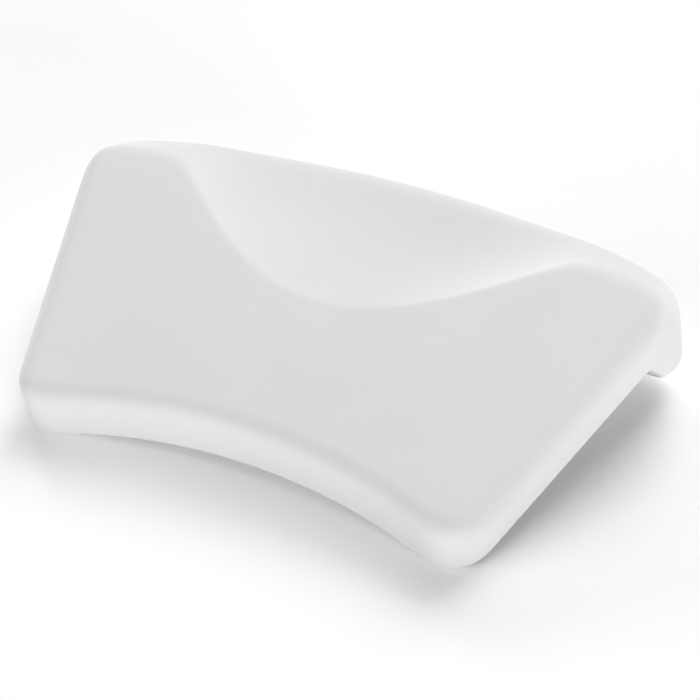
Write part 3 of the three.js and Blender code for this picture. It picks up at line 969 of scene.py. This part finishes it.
for i, place in enumerate(CUP_PLACES, 1):
    form = set_in_back(cup_form(), *place)
    cup = make_piece(form, f"vinyl_cup_{i}", f"cup_{i}", "cup", vinyl_finish, f"suction_cup_{i}")
print("cups:", len(CUP_PLACES), "with", len(cup.data.polygons), "faces each")

# %% [markdown]
# ## The surround
# The photograph was taken on a white sweep. A white world would light the pillow flatly from every side,
# so the surround is white only for the camera, and for rays that a gloss or a clear piece sends on. For
# every other ray it is dark, and the light comes from the lamps alone.

# %% Rays that see the surround


def background_rays(tree):
    """An output that is 1 for rays from the camera and for those that a gloss or a clear piece sends on."""
    rays = add_node(tree, "ShaderNodeLightPath", {})
    seen = add_node(tree, "ShaderNodeMath", {
        0: rays.outputs["Is Camera Ray"], 1: rays.outputs["Is Glossy Ray"]}, operation="MAXIMUM")
    clear = add_node(tree, "ShaderNodeMath", {
        0: seen.outputs["Value"], 1: rays.outputs["Is Transmission Ray"]}, operation="MAXIMUM")
    return clear.outputs["Value"]


def studio_world():
    """White where the surround is seen, and dark for every other ray."""
    world = bpy.data.worlds.new("studio")
    world.use_nodes = True
    tree = world.node_tree
    tree.nodes.clear()
    sky = add_node(tree, "ShaderNodeBackground", {
        "Color": linear("#FFFFFF"), "Strength": background_rays(tree)})
    add_node(tree, "ShaderNodeOutputWorld", {"Surface": sky.outputs["Background"]})
    return world


bpy.context.scene.world = studio_world()
print("world:", bpy.context.scene.world.name)

# %% [markdown]
# ## The floor
# The floor is the sweep's white paper, a plain sheet just under the pillow. Under lamps that suit the
# pillow, paper would look grey beside it, so the floor is seen a little brighter than it is and glows a
# little where it is seen. Other rays meet plain paper, so this adds no light to the pillow except in what
# its gloss mirrors, and the shadow stays.

# %% Floor
FLOOR_SIZE = 3.0  # m from the middle to each side
FLOOR_DROP = 0.0002  # m
FLOOR_WHITE = "#F6F6F4"
FLOOR_ROUGHNESS = 0.9
FLOOR_LIFT = 1.1  # how much brighter the floor is seen, so that it is white where no shadow falls
FLOOR_GLOW = 0.18  # and how much it glows where it is seen, which softens the shadow


def floor_finish():
    material, tree, shader, _ = start_finish("white_paper_sweep")
    paper = linear(FLOOR_WHITE)
    lifted = [FLOOR_LIFT * share for share in paper[:3]] + [1.0]
    seen = background_rays(tree)
    tint = add_node(tree, "ShaderNodeMix", {
        "Factor": seen, MIX_FIRST: paper, MIX_SECOND: lifted}, data_type="RGBA")
    glow = add_node(tree, "ShaderNodeMath", {0: seen, 1: FLOOR_GLOW}, operation="MULTIPLY")
    tree.links.new(tint.outputs[MIX_COLOUR], shader.inputs["Base Color"])
    tree.links.new(glow.outputs["Value"], shader.inputs["Emission Strength"])
    shader.inputs["Emission Color"].default_value = linear("#FFFFFF")
    shader.inputs["Roughness"].default_value = FLOOR_ROUGHNESS
    shader.inputs["Specular IOR Level"].default_value = 0.0
    return material


ground = bmesh.new()
sunk_floor = Matrix.Translation((0, 0, -FLOOR_DROP))
bmesh.ops.create_grid(ground, x_segments=1, y_segments=1, size=FLOOR_SIZE, matrix=sunk_floor)
floor_mesh = bpy.data.meshes.new("floor")
ground.to_mesh(floor_mesh)
ground.free()
floor_mesh.materials.append(floor_finish())
floor = bpy.data.objects.new("floor", floor_mesh)
bpy.context.scene.collection.objects.link(floor)
print("floor:", 2 * FLOOR_SIZE, "m wide")

# %% [markdown]
# ## The lamps
# Two softboxes behind the pillow, the higher one nearly above it, make the scoop and the top edge brighter
# than the front, and throw a soft shadow close in front and to the right. A low softbox in front on the
# left fills the front, a card behind on the left fills the left end, and a card on the right, almost on
# the floor, lifts the side face and the bottom edge. Area lamps would do, but a sun lamp with a wide angle
# gives the same soft light all over the pillow, and its level is easy to read.

# %% Softboxes and cards
BOX_SPREAD = 40  # degrees that a softbox fills, seen from the pillow
CARD_SPREAD = 16


def soft_light(name, around, up, spread, level):
    """A distant softbox that gives a white surface facing it the brightness level.

    It stands round to the right from behind the pillow, and up from the floor, by angles in degrees."""
    light = bpy.data.lights.new(name, "SUN")
    light.angle = radians(spread)
    light.energy = level * pi
    right, rise = radians(around), radians(up)
    way = Vector((sin(right) * cos(rise), cos(right) * cos(rise), sin(rise)))
    lamp = bpy.data.objects.new(name, light)
    lamp.rotation_euler = way.to_track_quat("Z", "Y").to_euler()
    bpy.context.scene.collection.objects.link(lamp)


soft_light("back_softbox", around=0, up=38, spread=BOX_SPREAD, level=0.51)
soft_light("high_softbox", around=0, up=65, spread=BOX_SPREAD, level=0.28)
soft_light("front_left_softbox", around=-135, up=12, spread=BOX_SPREAD, level=0.485)
soft_light("back_left_card", around=-45, up=28, spread=CARD_SPREAD, level=0.195)
soft_light("right_card", around=120, up=3, spread=CARD_SPREAD, level=0.73)
bpy.context.scene.view_settings.view_transform = "Standard"
print("lights:", sorted(light.name for light in bpy.data.lights))

# %% [markdown]
# ## The end
# The moulding's form is no longer needed, so it is freed, and the scene is brought up to date.

# %% Free the form and finish
moulding.free()
bpy.context.view_layer.update()
